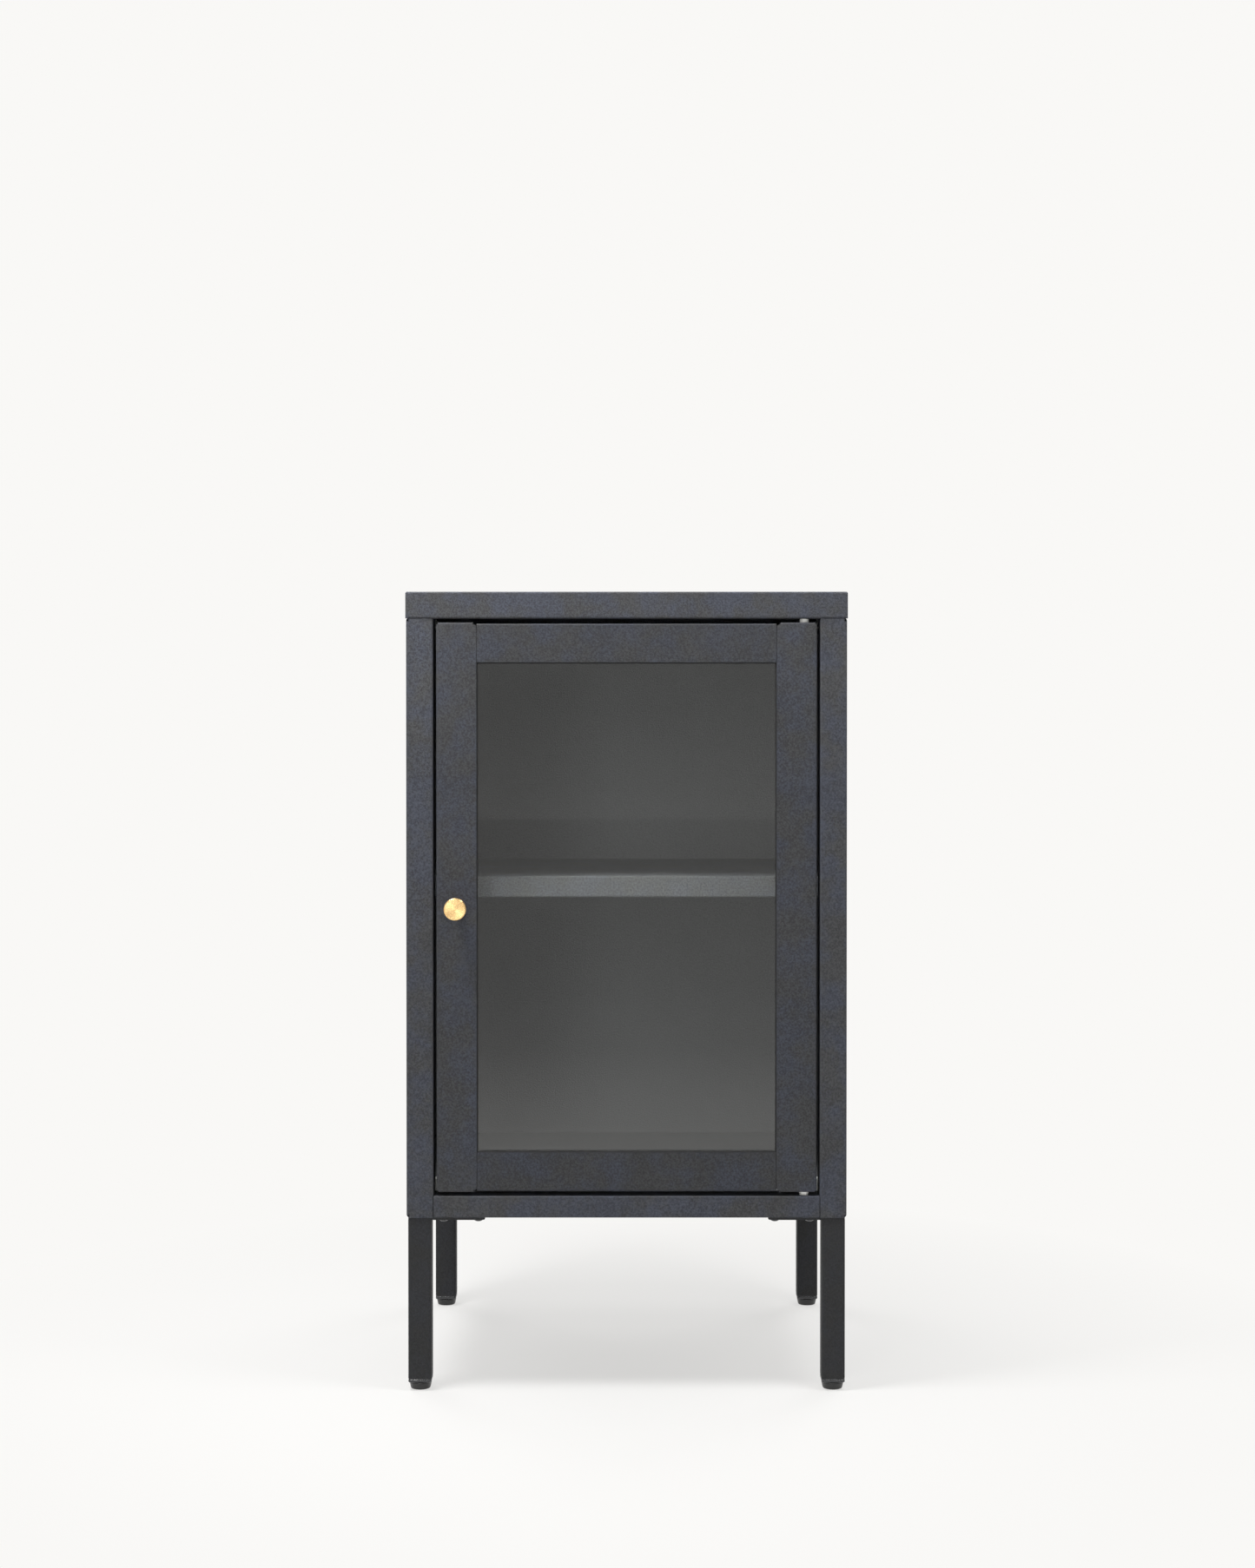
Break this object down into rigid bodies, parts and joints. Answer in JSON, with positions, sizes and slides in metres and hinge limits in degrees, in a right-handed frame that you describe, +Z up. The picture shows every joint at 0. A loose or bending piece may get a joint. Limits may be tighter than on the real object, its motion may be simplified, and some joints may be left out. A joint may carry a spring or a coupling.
{
  "type": "display cabinet",
  "caption": "Small folded-steel display cabinet on square legs, with a hinged glass door, brass knob, lift-off shelf, magnetic catch and levelling feet.",
  "frame": {"origin": "on the ground, under the middle of the object's bounding box", "axes": "+Z up; the door faces -Y; +X to the viewer's right, where the hinge is"},
  "size_m": [0.38, 0.3411, 0.688],
  "materials": {
    "powder_coat": "fine-textured satin powder coat, anthracite",
    "zinc_plated": "bright zinc plating",
    "brass": "spun satin brass",
    "glass": "clear float glass",
    "black_foam": "matte closed-cell glazing tape",
    "black_plastic": "moulded matte",
    "white_nylon": "moulded satin",
    "ferrite": "sintered, matte"
  },
  "bodies": {
    "carcass": {"top_panel": "powder_coat", "left_side_panel": "powder_coat", "right_side_panel": "powder_coat", "bottom_panel": "powder_coat", "back_panel": "powder_coat", "top_screws": "zinc_plated", "top_clinch_nuts": "zinc_plated", "back_screws": "zinc_plated", "shelf_clips": "zinc_plated", "clip_studs": "zinc_plated", "clip_nuts": "zinc_plated", "leg_front_left": "powder_coat", "leg_front_right": "powder_coat", "leg_rear_left": "powder_coat", "leg_rear_right": "powder_coat", "leg_bolts": "powder_coat", "leg_clinch_nuts": "zinc_plated", "leg_plugs": "black_plastic", "upper_pivot_bush": "white_nylon", "lower_pivot_bush": "white_nylon", "door_buffers": "white_nylon", "catch_body": "black_plastic", "catch_magnet": "ferrite", "catch_plates": "zinc_plated", "catch_screws": "zinc_plated"},
    "door": {"door_stile_left": "powder_coat", "door_stile_right": "powder_coat", "door_top_rail": "powder_coat", "door_bottom_rail": "powder_coat", "door_glass": "glass", "glazing_gasket": "black_foam", "rear_glazing_tape": "black_foam", "glass_retainer_left": "powder_coat", "glass_retainer_right": "powder_coat", "glass_retainer_top": "powder_coat", "glass_retainer_bottom": "powder_coat", "retainer_studs": "zinc_plated", "retainer_nuts": "zinc_plated", "knob": "brass", "knob_washer": "zinc_plated", "knob_screw": "zinc_plated", "upper_pivot_pin": "white_nylon", "lower_pivot_pin": "white_nylon", "catch_strike": "zinc_plated", "strike_rivets": "zinc_plated"},
    "shelf": {"shelf": "powder_coat"},
    "foot_front_left": {"foot_pad_front_left": "black_plastic", "foot_stud_front_left": "zinc_plated"},
    "foot_front_right": {"foot_pad_front_right": "black_plastic", "foot_stud_front_right": "zinc_plated"},
    "foot_rear_left": {"foot_pad_rear_left": "black_plastic", "foot_stud_rear_left": "zinc_plated"},
    "foot_rear_right": {"foot_pad_rear_right": "black_plastic", "foot_stud_rear_right": "zinc_plated"}
  },
  "joints": [
    {"name": "door_hinge", "type": "hinge", "parent": "carcass", "child": "door", "pos_m": [0.153, -0.1441, 0.4164], "axis": [0, 0, 1], "range_deg": [0, 110]},
    {"name": "shelf_lift", "type": "slide", "parent": "carcass", "child": "shelf", "axis": [0, 0, 1], "range_m": [0, 0.04]},
    {"name": "foot_front_left_level", "type": "slide", "parent": "carcass", "child": "foot_front_left", "axis": [0, 0, -1], "range_m": [0, 0.008]},
    {"name": "foot_front_right_level", "type": "slide", "parent": "carcass", "child": "foot_front_right", "axis": [0, 0, -1], "range_m": [0, 0.008]},
    {"name": "foot_rear_left_level", "type": "slide", "parent": "carcass", "child": "foot_rear_left", "axis": [0, 0, -1], "range_m": [0, 0.008]},
    {"name": "foot_rear_right_level", "type": "slide", "parent": "carcass", "child": "foot_rear_right", "axis": [0, 0, -1], "range_m": [0, 0.008]}
  ]
}
